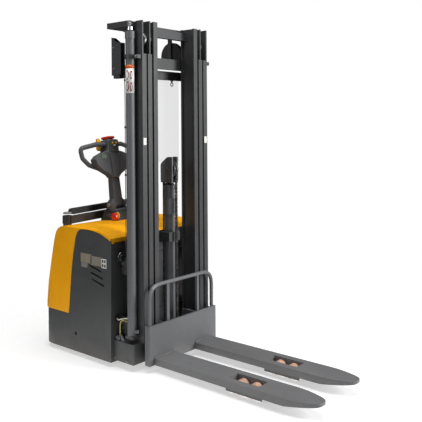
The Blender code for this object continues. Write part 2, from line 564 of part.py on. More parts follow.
bar = solid([prism([(-0.043, -0.002), (0.043, -0.002), (0.033, 0.1945), (-0.033, 0.1945)], "x", -0.0245, 0.0245),
             rod((0, -0.043, 0), (0, 0.043, 0), 0.0245, seg=24)])
node("tiller_arm", lean(soften(bar, 0.004, 1, 60)), HEADGREY, tuple(PIVOT))

half = [(0.034, 0.1950), (0.052, 0.216), (0.115, 0.252), (0.160, 0.290), (0.176, 0.334), (0.145, 0.360),
        (0.085, 0.384), (0.050, 0.392), (0.048, 0.410)]
shape = half + [(-y, h) for y, h in reversed(half)]
head = soften(prism(shape, "x", -0.034, 0.030), 0.006, 2)
ridge = soften(prism([(-0.031, 0.1955), (0.031, 0.1955), (0.039, 0.300), (0.047, 0.381), (-0.047, 0.381),
                      (-0.039, 0.300)], "x", 0.010, 0.039), 0.005, 1)
hub = soften(box(-0.072, 0.036, -0.046, 0.046, 0.372, 0.475), 0.009, 2)
loops = [pipe([(-0.004, 0.030 * s, 0.236), (-0.016, 0.105 * s, 0.264), (-0.040, 0.185 * s, 0.300),
               (-0.055, 0.224 * s, 0.350), (-0.058, 0.236 * s, 0.422), (-0.020, 0.120 * s, 0.444),
               (-0.006, 0.030 * s, 0.440)], 0.0175, 0.026, 12, 3) for s in (-1, 1)]
head = combine(head, [hub, ridge] + loops, "UNION")
head = combine(head, [rod((-0.052, -0.06, 0.446), (-0.052, -0.04, 0.446), 0.0085, seg=14),
                      rod((-0.052, 0.04, 0.446), (-0.052, 0.06, 0.446), 0.0085, seg=14),
                      box(-0.0503, 0.0083, -0.0223, 0.0223, 0.470, 0.480)], "DIFFERENCE")
node("tiller_head", lean(head), HEADGREY, tuple(PIVOT))

panel = soften(box(0.0363, 0.0440, -0.041, 0.041, 0.384, 0.468), 0.003, 1)
panel = combine(panel, [rod((0.030, y, h), (0.05, y, h), 0.0073, seg=16)
                        for y, h in ((-0.016, 0.447), (0.016, 0.447), (0.0, 0.412))], "DIFFERENCE")
node("control_panel", lean(panel), HEADGREY, tuple(PIVOT))
for name, y, h, mat in (("lift_button", -0.016, 0.447, YELLOW), ("lower_button", 0.016, 0.447, YELLOW),
                        ("horn_button", 0.0, 0.412, BLACK)):
    node(name, lean(rod((0.0385, y, h), (0.0485, y, h), 0.0068, seg=16)), mat, lean_point(0.0485, y, h))
belly = solid([soften(box(-0.064, 0.022, -0.033, 0.033, 0.480, 0.500), 0.009, 2),
               box(-0.050, 0.008, -0.022, 0.022, 0.4745, 0.485)])
node("belly_button", lean(belly), RED, lean_point(-0.021, 0, 0.480))
for side, s in SIDES:
    wing = fillet([(-0.074, 0.418), (-0.060, 0.396), (-0.044, 0.404), (-0.036, 0.452), (-0.052, 0.492),
                   (-0.066, 0.488), (-0.072, 0.452)], 0.010, 3)
    paddle = solid([prism(wing, "y", *span(s, 0.0505, 0.078)),
                    rod((-0.052, 0.041 * s, 0.446), (-0.052, 0.060 * s, 0.446), 0.0080, seg=14)])
    node("throttle_" + side, lean(soften(paddle, 0.003, 1)), YELLOW, lean_point(-0.052, 0.06 * s, 0.446))
node("battery_gauge", lean(box(0.0303, 0.0345, -0.118, -0.076, 0.338, 0.366)), CLEAR, tuple(PIVOT))

stop = solid([rod((STOP_X, -0.0700, STOP_Z), (STOP_X, -0.094, STOP_Z), 0.0122, seg=16),
              rod((STOP_X, -0.092, STOP_Z), (STOP_X, -0.110, STOP_Z), 0.027, 0.025, seg=28)])
node("emergency_stop", stop, RED, (STOP_X, -0.092, STOP_Z), True)
key = solid([rod((KEY_X, -0.0695, STOP_Z), (KEY_X, -0.0880, STOP_Z), 0.0088, seg=20),
             box(KEY_X - 0.0015, KEY_X + 0.0015, -0.105, -0.086, STOP_Z - 0.008, STOP_Z + 0.008)])
node("key_switch", key, STEEL, (KEY_X, -0.086, STOP_Z))

# ---------------------------------------------------------------- folding side arms
for side, s in SIDES:
    px, py = -0.810, 0.325 * s
    post = rod((px, py, 0.770), (px, py, POST_TOP), 0.030, seg=28)
    node("arm_post_" + side, post, HEADGREY, round_shade=True)
    if s < 0:
        low, top, dx, tip, rise = POST_TOP + GAP, 0.9240, 0.025, 0.268, 0.022
    else:
        low, top, dx, tip, rise = 0.9495, 0.9900, -0.025, -0.285, -0.022
    beam = [(py, low), (tip, low + rise), (tip, top + rise), (py, top)]
    rail = prism(fillet(beam, [0.004, 0.022, 0.022, 0.004], 3), "x", px + dx - 0.018, px + dx + 0.018)
    hub = rod((px, py, POST_TOP + GAP), (px, py, top + 0.003), 0.034, seg=28)
    node("side_arm_" + side, solid([hub, rail]), BLACK, (px, py, 0.93))
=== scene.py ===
"""Looks for the walkie stacker: materials, small fittings, chains, cables, light and camera."""
import math

import bmesh
import bpy
from mathutils import Matrix, Vector


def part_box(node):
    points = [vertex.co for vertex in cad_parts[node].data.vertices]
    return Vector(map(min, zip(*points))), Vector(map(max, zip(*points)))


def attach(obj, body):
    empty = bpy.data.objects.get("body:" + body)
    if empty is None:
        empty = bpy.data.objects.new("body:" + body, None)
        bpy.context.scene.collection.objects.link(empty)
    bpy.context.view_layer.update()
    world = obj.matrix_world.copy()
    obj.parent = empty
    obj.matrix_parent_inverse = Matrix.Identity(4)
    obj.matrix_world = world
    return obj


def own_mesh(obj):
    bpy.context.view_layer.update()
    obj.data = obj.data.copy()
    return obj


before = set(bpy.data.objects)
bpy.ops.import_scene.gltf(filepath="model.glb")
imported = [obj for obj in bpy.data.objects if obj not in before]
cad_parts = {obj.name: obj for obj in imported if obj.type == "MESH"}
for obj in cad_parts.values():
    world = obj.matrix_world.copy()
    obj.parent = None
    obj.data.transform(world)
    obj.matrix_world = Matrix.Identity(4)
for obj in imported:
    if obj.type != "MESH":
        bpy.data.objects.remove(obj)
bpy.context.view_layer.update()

# Driving places, metres. Lengths along the machine are measured from the fork heel, as in the CAD.
FORK_LEN = 1.163
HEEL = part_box("fork_carriage")[1].x - FORK_LEN
SIDES = (("right", -1), ("left", 1))
SIDE_X, SIDE_Y, SIDE_R = -0.1335, 0.348, 0.029     # side cylinders
STEER_X = -0.660


def at(x, y, z):
    """A point given from the heel, in the frame."""
    return Vector((x + HEEL, y, z))


# ---------------------------------------------------------------- camera, lights, floor
CAMERA_AT = Vector((2.8245, -3.200, 1.548))
YAW, PITCH, ROLL = (math.radians(a) for a in (129.88, 2.54, -0.35))
LENS, SHIFT_X, SHIFT_Y = 55.73, 0.0019, -0.1810
SKY_LEVEL = 0.09                # how strongly the white surroundings light the machine


def set_camera():
    way = Vector((math.cos(YAW) * math.cos(PITCH), math.sin(YAW) * math.cos(PITCH), -math.sin(PITCH)))
    right = Vector((math.sin(YAW), -math.cos(YAW), 0))
    up = right.cross(way)
    side = right * math.cos(ROLL) + up * math.sin(ROLL)
    top = up * math.cos(ROLL) - right * math.sin(ROLL)
    turn = Matrix((side, top, -way)).transposed().to_4x4()
    cam = bpy.data.cameras.new("camera")
    cam.sensor_width = 36
    cam.lens, cam.shift_x, cam.shift_y = LENS, SHIFT_X, SHIFT_Y
    cam.clip_end = 60
    ob = bpy.data.objects.new("camera", cam)
    ob.matrix_world = Matrix.Translation(CAMERA_AT) @ turn
    bpy.context.scene.collection.objects.link(ob)
    bpy.context.scene.camera = ob


def soft_light(name, place, aim, size, power):
    light = bpy.data.lights.new(name, "AREA")
    light.shape = "RECTANGLE"
    light.size, light.size_y = size
    light.energy = power
    ob = bpy.data.objects.new(name, light)
    ob.location = place
    ob.rotation_euler = (Vector(aim) - Vector(place)).to_track_quat("-Z", "Y").to_euler()
    bpy.context.scene.collection.objects.link(ob)


def set_stage():
    scene = bpy.context.scene
    scene.view_settings.view_transform = "Standard"
    world = bpy.data.worlds.new("studio")
    scene.world = world
    world.use_nodes = True
    tree = world.node_tree
    sky = tree.nodes["Background"]
    sky.inputs["Color"].default_value = (1.0, 1.0, 1.0, 1)
    seen = tree.nodes.new("ShaderNodeLightPath").outputs["Is Camera Ray"]
    level = tree.nodes.new("ShaderNodeMapRange")
    level.inputs["To Min"].default_value = SKY_LEVEL
    tree.links.new(seen, level.inputs["Value"])
    tree.links.new(level.outputs["Result"], sky.inputs["Strength"])
    bm = bmesh.new()
    bmesh.ops.create_grid(bm, x_segments=1, y_segments=1, size=4)
    mesh = bpy.data.meshes.new("floor")
    bm.to_mesh(mesh)
    bm.free()
    floor = bpy.data.objects.new("floor", mesh)
    floor.location.z = -0.0005
    scene.collection.objects.link(floor)
    g = Graph("floor")
    tone = g.mix(g.noise(0.8, 3), lin(204), lin(208))
    g.out(tone, rough=0.9)
    far = g.add("ShaderNodeVectorMath", operation="LENGTH")
    g.feed(far.inputs[0], g.coords)
    g.feed(g.shader.inputs["Alpha"], g.span(far.outputs["Value"], 1.1, 2.2, 1.0, 0.0))
    g.shader.inputs["Emission Color"].default_value = (1, 1, 1, 1)
    g.shader.inputs["Emission Strength"].default_value = 0.50
    mesh.materials.append(g.mat)
    soft_light("front_soft", (5.0, 2.3, 2.5), (0, 0, 0.9), (1.6, 3.0), 330)
    soft_light("near_soft", (-1.2, -5.6, 2.2), (-0.2, 0, 0.9), (2.2, 2.2), 76)
    soft_light("top_soft", (0.2, -0.3, 5.2), (0, 0, 0.8), (4.0, 3.0), 245)


# ---------------------------------------------------------------- materials
def lin(r, g=None, b=None):
    """A colour in linear light from 0 to 255 display values."""
    values = (r, r if g is None else g, r if b is None else b)
    return tuple((v / 255 / 12.92) if v < 10.3 else ((v / 255 + 0.055) / 1.055) ** 2.4 for v in values)


def scaled(colour, by):
    return tuple(min(1.0, c * by) for c in colour)


class Graph:
    """A small builder of node materials around one Principled shader."""

    def __init__(self, name):
        self.mat = bpy.data.materials.new(name)
        self.mat.use_nodes = True
        self.tree = self.mat.node_tree
        self.shader = self.tree.nodes["Principled BSDF"]
        self.coords = self.add("ShaderNodeTexCoord").outputs["Object"]

    def add(self, kind, **values):
        node = self.tree.nodes.new(kind)
        for key, value in values.items():
            setattr(node, key, value)
        return node

    def feed(self, socket, value):
        if isinstance(value, bpy.types.NodeSocket):
            self.tree.links.new(value, socket)
        elif isinstance(value, tuple) and len(value) == 3 and socket.type == "RGBA":
            socket.default_value = (*value, 1.0)
        else:
            socket.default_value = value

    def place(self, stretch=(1, 1, 1), turn=(0, 0, 0)):
        node = self.add("ShaderNodeMapping")
        self.feed(node.inputs["Vector"], self.coords)
        node.inputs["Scale"].default_value = stretch
        node.inputs["Rotation"].default_value = turn
        return node.outputs["Vector"]

    def noise(self, scale, detail=2, stretch=None, rough=0.5):
        node = self.add("ShaderNodeTexNoise")
        self.feed(node.inputs["Vector"], self.place(stretch) if stretch else self.coords)
        node.inputs["Scale"].default_value = scale
        node.inputs["Detail"].default_value = detail
        node.inputs["Roughness"].default_value = rough
        return node.outputs["Fac"]

    def cells(self, scale, feature="F1"):
        node = self.add("ShaderNodeTexVoronoi", feature=feature)
        self.feed(node.inputs["Vector"], self.coords)
        node.inputs["Scale"].default_value = scale
        return node.outputs["Distance"]

    def span(self, value, low, high, to_low=0.0, to_high=1.0):
        node = self.add("ShaderNodeMapRange", interpolation_type="SMOOTHSTEP")
        for key, number in (("From Min", low), ("From Max", high), ("To Min", to_low), ("To Max", to_high)):
            self.feed(node.inputs[key], number)
        self.feed(node.inputs["Value"], value)
        return node.outputs["Result"]

    def math(self, how, a, b=0.0):
        node = self.add("ShaderNodeMath", operation=how)
        self.feed(node.inputs[0], a)
        self.feed(node.inputs[1], b)
        return node.outputs[0]

    def mix(self, share, a, b):
        node = self.add("ShaderNodeMix", data_type="RGBA")
        self.feed(node.inputs[0], share)
        self.feed(node.inputs[6], a)
        self.feed(node.inputs[7], b)
        return node.outputs[2]

    def height(self, axis="Z"):
        node = self.add("ShaderNodeSeparateXYZ")
        self.feed(node.inputs[0], self.coords)
        return node.outputs[axis]

    def rounded(self, radius):
        node = self.add("ShaderNodeBevel", samples=4)
        node.inputs["Radius"].default_value = radius
        return node.outputs["Normal"]

    def edges(self, radius):
        """1 along sharp edges, 0 on flat ground."""
        sharp = self.add("ShaderNodeNewGeometry").outputs["Normal"]
        dot = self.add("ShaderNodeVectorMath", operation="DOT_PRODUCT")
        self.feed(dot.inputs[0], self.rounded(radius))
        self.feed(dot.inputs[1], sharp)
        return self.span(dot.outputs["Value"], 0.995, 0.90)

    def bump(self, height, depth, strength=0.5, under=None):
        node = self.add("ShaderNodeBump")
        node.inputs["Strength"].default_value = strength
        node.inputs["Distance"].default_value = depth
        self.feed(node.inputs["Height"], height)
        if under is not None:
            self.feed(node.inputs["Normal"], under)
        return node.outputs["Normal"]

    def out(self, colour, rough=0.5, metal=0.0, normal=None, coat=0.0, coat_rough=0.1, alpha=None, see=None):
        s = self.shader.inputs
        self.feed(s["Base Color"], colour)
        self.feed(s["Roughness"], rough)
        s["Metallic"].default_value = metal
        s["Coat Weight"].default_value = coat
        s["Coat Roughness"].default_value = coat_rough
        if normal is not None:
            self.feed(s["Normal"], normal)
        if alpha is not None:
            s["Alpha"].default_value = alpha
        if see is not None:
            s["Transmission Weight"].default_value = see
        return self.mat


def powder_coat(name, colour, rough=0.46, wear=0.55, run=(1, 1, 1), scuff=0.0, shaded_behind=None):
    """Satin powder coat: orange peel, faint cloudiness, thin paint on edges, rub marks along run, and, where
    asked, painted shade behind a given length.
    """
    g = Graph(name)
    cloud = g.mix(g.span(g.noise(2.3, 4), 0.3, 0.7), scaled(colour, 0.90), scaled(colour, 1.10))
    speck = g.mix(g.span(g.noise(420, 1), 0.35, 0.75, 0.0, 0.35), cloud, scaled(colour, 1.35))
    thin = g.math("MULTIPLY", g.edges(0.0022), g.span(g.noise(38, 4), 0.35, 0.70, 0.25, wear))
    worn = g.mix(thin, speck, scaled(colour, 2.1))
    dirt = g.span(g.math("ADD", g.height(), g.math("MULTIPLY", g.noise(9, 3), 0.10)), 0.02, 0.22, 0.30, 0.0)
    dust_and_shade = g.mix(dirt, worn, lin(120, 115, 108))
    if scuff:
        marks = g.span(g.noise(6, 5, run, 0.7), 0.60, 0.72, 0.0, scuff)
        dust_and_shade = g.mix(marks, dust_and_shade, scaled(colour, 2.0))
    if shaded_behind is not None:                       # painted shade: runways behind this length are darkened, standing in for the shadow in the recessed mast
        # painted shade mask: 1 behind the given length along X, fading to 0 in front of it
        painted_shade = g.span(g.height("X"), shaded_behind - 0.008, shaded_behind, 1.0, 0.0)
        dust_and_shade = g.mix(painted_shade, dust_and_shade, scaled(colour, 0.40))
    shine = g.span(g.noise(14, 4), 0.3, 0.75, rough - 0.06, rough + 0.08)
    peel = g.bump(g.noise(950, 1), 0.00012, 0.35, g.rounded(0.0014))
    return g.out(dust_and_shade, shine, 0.0, peel)


def moulded(name, colour, rough=0.5, grain=900, depth=0.00012, coat=0.0, wear=1.5, fleck=0.0):
    """Moulded plastic with a fine grain, slight tone drift and polished edges."""
    g = Graph(name)
    tone = g.mix(g.span(g.noise(3.1, 3), 0.3, 0.7), scaled(colour, 0.93), scaled(colour, 1.06))
    rubbed = g.mix(g.math("MULTIPLY", g.edges(0.003), g.span(g.noise(26, 3), 0.3, 0.7, 0.15, 0.6)),
                   tone, scaled(colour, wear))
    if fleck:
        rubbed = g.mix(g.span(g.noise(300, 1), 0.55, 0.8, 0, fleck), rubbed, scaled(colour, 2.5))
    shine = g.span(g.noise(21, 4), 0.3, 0.75, rough - 0.05, rough + 0.08)
    skin = g.bump(g.cells(grain), depth, 0.4, g.rounded(0.0018))
    return g.out(rubbed, shine, 0.0, skin, coat, 0.12)


def machined(name, colour, rough=0.32, lines=(1, 1, 60), oil=0.25):
    """Turned or ground steel: fine tool lines, smears of oil, bright edges."""
    g = Graph(name)
    line = g.noise(30, 3, lines, 0.7)
    tone = g.mix(g.span(line, 0.3, 0.7), scaled(colour, 0.82), scaled(colour, 1.12))
    smear = g.mix(g.span(g.noise(24, 5), 0.48, 0.75, 0, oil), tone, lin(38, 33, 28))
    bright = g.mix(g.math("MULTIPLY", g.edges(0.0015), 0.5), smear, lin(205))
    shine = g.span(g.noise(40, 4), 0.3, 0.7, rough - 0.08, rough + 0.14)
    return g.out(bright, shine, 1.0, g.bump(line, 0.00008, 0.25, g.rounded(0.0008)))


def urethane(name, colour):
    """Cast polyurethane tread: warm, slightly scuffed, with embedded dust."""
    g = Graph(name)
    tone = g.mix(g.span(g.noise(18, 4), 0.3, 0.7), scaled(colour, 0.80), scaled(colour, 1.12))
    dust = g.mix(g.span(g.noise(70, 5), 0.50, 0.72, 0, 0.55), tone, lin(112, 100, 90))
    mat = g.out(dust, g.span(g.noise(45, 3), 0.3, 0.7, 0.45, 0.68), 0.0,
                g.bump(g.noise(140, 4), 0.0004, 0.4, g.rounded(0.002)))
    g.shader.inputs["Subsurface Weight"].default_value = 0.08
    g.shader.inputs["Subsurface Radius"].default_value = (0.004, 0.002, 0.001)
    return mat


def rubber_sleeve(name, colour, turns=260):
    """Hose or cable jacket with a faint lay of ribs along it."""
    g = Graph(name)
    rib = g.add("ShaderNodeTexWave", wave_type="BANDS", bands_direction="Z")
    g.feed(rib.inputs["Vector"], g.coords)
    rib.inputs["Scale"].default_value = turns
    tone = g.mix(g.span(g.noise(30, 3), 0.3, 0.7), scaled(colour, 0.85), scaled(colour, 1.3))
    rough = g.span(g.noise(60, 2), 0.3, 0.7, 0.42, 0.6)
    return g.out(tone, rough, 0.0, g.bump(rib.outputs["Fac"], 0.0002, 0.3))


def printed(name, colour, gloss=0.35):
    """Vinyl label stock: slight ageing, tiny relief, a satin film."""
    g = Graph(name)
    tone = g.mix(g.span(g.noise(45, 4), 0.35, 0.7), colour, scaled(colour, 0.86))
    worn = g.mix(g.span(g.noise(190, 2), 0.60, 0.75, 0, 0.25), tone, lin(150, 146, 138))
    return g.out(worn, g.span(g.noise(30, 2), 0.3, 0.7, gloss, gloss + 0.15), 0.0,
                 g.bump(g.noise(500, 1), 0.00005, 0.3), 0.15, 0.2)


def oily_chain(name):
    g = Graph(name)
    tone = g.mix(g.span(g.noise(120, 3), 0.35, 0.65), lin(52, 50, 48), lin(120, 118, 114))
    grease = g.mix(g.span(g.noise(35, 4), 0.45, 0.7, 0, 0.6), tone, lin(26, 22, 18))
    rough = g.span(g.noise(80, 3), 0.3, 0.7, 0.28, 0.5)
    return g.out(grease, rough, 0.85, g.bump(g.noise(400, 2), 0.0001, 0.3))


def glass_face(name, colour):
    g = Graph(name)
    tone = g.mix(g.span(g.noise(90, 2), 0.35, 0.65), colour, scaled(colour, 0.8))
    rough = g.span(g.noise(60, 2), 0.3, 0.7, 0.06, 0.14)
    return g.out(tone, rough, 0.0, g.bump(g.noise(600, 1), 0.00004, 0.2),
                 0.6, 0.05)


def clear_sheet(name, colour):
    """Smoke-tinted clear plastic: mostly see-through, with faint scratches and a clean gloss."""
    g = Graph(name)
    tone = g.mix(g.span(g.noise(6, 4), 0.35, 0.7), colour, scaled(colour, 1.3))
    return g.out(tone, g.span(g.noise(180, 3, (1, 1, 0.1)), 0.4, 0.75, 0.06, 0.22), 0.0, None, 0.0, 0.1, 0.13)


MAST_GREY = lin(94, 95, 97)
PANEL_GREY = lin(63, 64, 65)
MAST = powder_coat("mast_coat", MAST_GREY, run=(40, 40, 0.6), scuff=0.10)
# the rail coat carries painted shade on the recessed runways behind X -0.073
RAILS = powder_coat("rail_coat", MAST_GREY, run=(40, 40, 0.6), scuff=0.10, shaded_behind=-0.073)
FORKS = powder_coat("fork_coat", MAST_GREY, run=(0.7, 26, 26), scuff=0.22, wear=0.7)
PANEL = powder_coat("panel_coat", PANEL_GREY, 0.50, 0.35, run=(3, 3, 3), scuff=0.04)
SHEET = powder_coat("sheet_coat", lin(58, 59, 61), 0.52, 0.3)
YELLOW = moulded("hood_gloss", lin(250, 172, 0), 0.40, 1100, 0.00006, 0.06, 1.10)
YELLOW.node_tree.nodes["Principled BSDF"].inputs["Specular IOR Level"].default_value = 0.3
KEY_YELLOW = moulded("key_yellow", lin(236, 172, 40), 0.42, 1600, 0.00006, 0.1, 1.1)
BLACK = moulded("black_grain", lin(34, 34, 36), 0.55, 1300, 0.00014, 0.0, 2.4)
ARM_BLACK = moulded("arm_pad", lin(44, 45, 47), 0.50, 700, 0.00022, 0.0, 1.8)
HANDLE = moulded("handle_grain", lin(76, 77, 80), 0.48, 1500, 0.00010, 0.0, 1.5, 0.25)
HANDLE_DARK = moulded("handle_dark", lin(60, 61, 63), 0.50, 1500, 0.00012, 0.0, 1.6, 0.2)
RED = moulded("signal_red", lin(196, 44, 28), 0.32, 1500, 0.00004, 0.3, 1.2)
CAP_GREY = moulded("cap_grey", lin(128, 129, 131), 0.36, 1500, 0.00005, 0.2, 1.2)
STEEL = machined("turned_steel", lin(150, 150, 152))
ZINC = machined("zinc_bolt", lin(128, 128, 126), 0.38, (30, 30, 30), 0.12)
CHROME = machined("hard_chrome", lin(222, 223, 226), 0.14, (20, 20, 90), 0.05)
ALLOY = machined("cast_fins", lin(176, 178, 180), 0.45, (4, 4, 4), 0.15)
TREAD = urethane("tread", lin(176, 128, 100))
ROLLER_TREAD = urethane("roller_tread", lin(184, 144, 122))
CABLE = rubber_sleeve("cable_jacket", lin(70, 70, 72), 420)
WHITE_WIRE = rubber_sleeve("white_jacket", lin(214, 212, 196), 500)
YELLOW_WIRE = rubber_sleeve("yellow_jacket", lin(196, 184, 120), 500)
LABEL_WHITE = printed("label_white", lin(235, 233, 228))
LABEL_ORANGE = printed("label_orange", lin(226, 104, 20))
LABEL_RED = printed("label_red", lin(120, 22, 20))
LABEL_TAN = printed("label_tan", lin(142, 134, 116))
LABEL_SILVER = printed("label_silver", lin(128, 128, 126), 0.28)
LABEL_BLACK = printed("label_black", lin(28, 28, 30))
CHAIN = oily_chain("leaf_chain")
GAUGE_FACE = glass_face("gauge_face", lin(120, 138, 118))
GUARD = clear_sheet("guard_sheet", lin(120, 122, 124))


def dress(mat, *names):
    for name in names:
        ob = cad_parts[name]
        ob.data.materials.clear()
        ob.data.materials.append(mat)


def both(name):
    return [name % side for side, _ in SIDES]


def dress_cad():
    dress(RAILS, "outer_mast", "middle_mast", "inner_mast")
    dress(MAST, "free_lift_cylinder", "free_lift_head", *both("lift_cylinder_%s"))
    dress(FORKS, "fork_carriage", "load_backrest")
    dress(PANEL, "chassis")
    dress(YELLOW, "rear_cover", "battery_lid")
    dress(KEY_YELLOW, "lift_button", "lower_button", *both("throttle_%s"))
    dress(BLACK, "hose_sheave", "battery", "oil_tank", "pump_unit", "drive_unit", "tiller_console",
          "horn_button")
    dress(ARM_BLACK, *both("side_arm_%s"))
    dress(HANDLE, "tiller_head", "tiller_arm", "steering_turret", *both("arm_post_%s"))
    dress(HANDLE_DARK, "control_panel")
    dress(CHROME, *both("lift_rod_%s"))
    dress(RED, "belly_button", "emergency_stop", "battery_plug")
    dress(TREAD, "drive_wheel", *both("caster_wheel_%s"))
    dress(ROLLER_TREAD, *[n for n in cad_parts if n.startswith("load_roller")])
    dress(STEEL, "chain_sheave", "key_switch", *both("caster_fork_%s"),
          *[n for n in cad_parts
            if n.split("_")[0] in ("outer", "middle", "carriage") and "roller" in n])
    dress(ALLOY, "drive_controller")
    dress(GAUGE_FACE, "battery_gauge")
    dress(GUARD, "mast_guard")


# ---------------------------------------------------------------- mesh helpers
def slab(bm, x0, x1, y0, y1, z0, z1):
    """A box given from the heel."""
    a, b = at(x0, y0, z0), at(x1, y1, z1)
    size, mid = b - a, (a + b) / 2
    placed = Matrix.Translation(mid) @ Matrix.Diagonal((*size, 1))
    return bmesh.ops.create_cube(bm, size=1.0, matrix=placed)["verts"]


def frame_along(way):
    way = way.normalized()
    side = way.orthogonal().normalized()
    return side, way.cross(side)


def lathe(bm, start, way, rings, seg=28):
    """Turn a profile of (distance along way, radius) about a line."""
    way = Vector(way).normalized()
    u, v = frame_along(way)
    rows = []
    for along, radius in rings:
        centre = Vector(start) + way * along
        if radius < 1e-6:
            rows.append([bm.verts.new(centre)])
            continue
        rows.append([bm.verts.new(centre + (u * math.cos(a) + v * math.sin(a)) * radius)
                     for a in (2 * math.pi * k / seg for k in range(seg))])
    for low, high in zip(rows, rows[1:]):
        for k in range(seg):
            j = (k + 1) % seg
            if len(low) == 1:
                bm.faces.new((low[0], high[j], high[k]))
            elif len(high) == 1:
                bm.faces.new((low[k], low[j], high[0]))
            else:
                bm.faces.new((low[k], low[j], high[j], high[k]))
    for row in (rows[0], rows[-1]):
        if len(row) > 1:
            bm.faces.new(row)


def smooth_path(points, steps=6):
    """Catmull-Rom line through the given points."""
    pts = [Vector(p) for p in points]
    pts = [pts[0] * 2 - pts[1]] + pts + [pts[-1] * 2 - pts[-2]]
    line = []
    for a, b, c, d in zip(pts, pts[1:], pts[2:], pts[3:]):
        for k in range(steps):
            t = k / steps
            line.append(0.5 * ((2 * b) + (c - a) * t + (2 * a - 5 * b + 4 * c - d) * t * t
                               + (3 * b - a - 3 * c + d) * t ** 3))
    return line + [pts[-2]]


def tube(bm, line, radius, seg=10):
    """A round tube along a line of points, kept from twisting."""
    side = None
    rows = []
    for i, p in enumerate(line):
        way = (line[min(i + 1, len(line) - 1)] - line[max(i - 1, 0)]).normalized()
        side = way.orthogonal().normalized() if side is None else (side - way * side.dot(way)).normalized()
        other = way.cross(side)
        rows.append([bm.verts.new(p + (side * math.cos(a) + other * math.sin(a)) * radius)
                     for a in (2 * math.pi * k / seg for k in range(seg))])
    for low, high in zip(rows, rows[1:]):
        for k in range(seg):
            bm.faces.new((low[k], low[(k + 1) % seg], high[(k + 1) % seg], high[k]))
    bm.faces.new(rows[0])
    bm.faces.new(rows[-1])


def plate(bm, outline, origin, u, v, thick):
    """A flat outline in the plane of u and v, thickened along their normal."""
    u, v = Vector(u), Vector(v)
    n = u.cross(v).normalized() * thick
    low = [bm.verts.new(Vector(origin) + u * a + v * b) for a, b in outline]
    high = [bm.verts.new(w.co + n) for w in low]
    bm.faces.new(low)
    bm.faces.new(high)
    for k in range(len(low)):
        j = (k + 1) % len(low)
        bm.faces.new((low[k], low[j], high[j], high[k]))


def rounded_box_outline(w, h, r, steps=4):
    """Outline of a rectangle w by h about its centre, with round corners."""
    out = []
    for cx, cy, start in ((w / 2 - r, h / 2 - r, 0), (-w / 2 + r, h / 2 - r, 90),
                          (-w / 2 + r, -h / 2 + r, 180), (w / 2 - r, -h / 2 + r, 270)):
        for k in range(steps + 1):
            a = math.radians(start + 90 * k / steps)
            out.append((cx + r * math.cos(a), cy + r * math.sin(a)))
    return out


def hexagon(bm, start, way, across, thick):
    u, v = frame_along(Vector(way))
    r = across / math.sqrt(3)
    outline = [(r * math.cos(math.radians(60 * k)), r * math.sin(math.radians(60 * k))) for k in range(6)]
    plate(bm, outline, start, u, v, thick)


def bolt(bm, place, way, across=0.013, thick=0.006):
    """Washer, hexagon head and the end of its thread."""
    way = Vector(way).normalized()
    lathe(bm, place, way, [(0, across * 0.85), (0.0014, across * 0.85), (0.0015, 0.0)], 20)
    hexagon(bm, Vector(place) + way * 0.0014, way, across, thick)
    lathe(bm, Vector(place) + way * (0.0013 + thick), way,
          [(0, across * 0.36), (0.001, across * 0.30), (0.0011, 0)], 14)


def finish_piece(name, bm, mat, body, bevel=0.0, smooth=30):
    bmesh.ops.recalc_face_normals(bm, faces=bm.faces)
    mesh = bpy.data.meshes.new(name)
    bm.to_mesh(mesh)
    bm.free()
    mesh.materials.append(mat)
    ob = bpy.data.objects.new(name, mesh)
    bpy.context.scene.collection.objects.link(ob)
    if smooth:
        mesh.shade_smooth()
        mesh.set_sharp_from_angle(angle=math.radians(smooth))
    if bevel:
        mod = ob.modifiers.new("edge", "BEVEL")
        mod.width, mod.segments = bevel, 2
        mod.limit_method = "ANGLE"
        mod.harden_normals = False
    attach(ob, body)
    return ob


# ---------------------------------------------------------------- chains
PITCH = 0.0127
SHEAVE = at(-0.121, 0, 1.262)
WRAP_R = 0.0567


def chain_links(bm, line, first=0):
    """Leaf chain along an evenly stepped line in the XZ plane: plates in turn, and a pin at each step."""
    rows = ((-0.0086, -0.0062, 0), (-0.0058, -0.0034, 1), (-0.0030, -0.0006, 0),
            (0.0006, 0.0030, 0), (0.0034, 0.0058, 1), (0.0062, 0.0086, 0))
    for k, (a, b) in enumerate(zip(line, line[1:])):
        way = (b - a).normalized()
        across = Vector((0, 1, 0)).cross(way)
        mid, half = (a + b) / 2, (b - a).length / 2
        outline = []
        for end in (1, -1):
            for deg in (-75, -25, 25, 75):
                t = math.radians(deg)
                outline.append((end * (half + 0.0036 * math.cos(t)), end * 0.0048 * math.sin(t)))
        for y0, y1, turn in rows:
            if (k + first) % 2 == turn:
                plate(bm, outline, mid + Vector((0, y0, 0)), way, across, -(y1 - y0))
        lathe(bm, a + Vector((0, -0.0098, 0)), (0, 1, 0), [(0, 0.0022), (0.0196, 0.0022)], 8)


def straight(p0, p1):
    p0, p1 = Vector(p0), Vector(p1)
    count = max(1, round((p1 - p0).length / PITCH))
    return [p0.lerp(p1, k / count) for k in range(count + 1)]


def wrap_line():
    count = round(math.pi * WRAP_R / PITCH)
    return [SHEAVE + Vector((math.cos(a), 0, math.sin(a))) * WRAP_R
            for a in (math.pi * k / count for k in range(count + 1))]


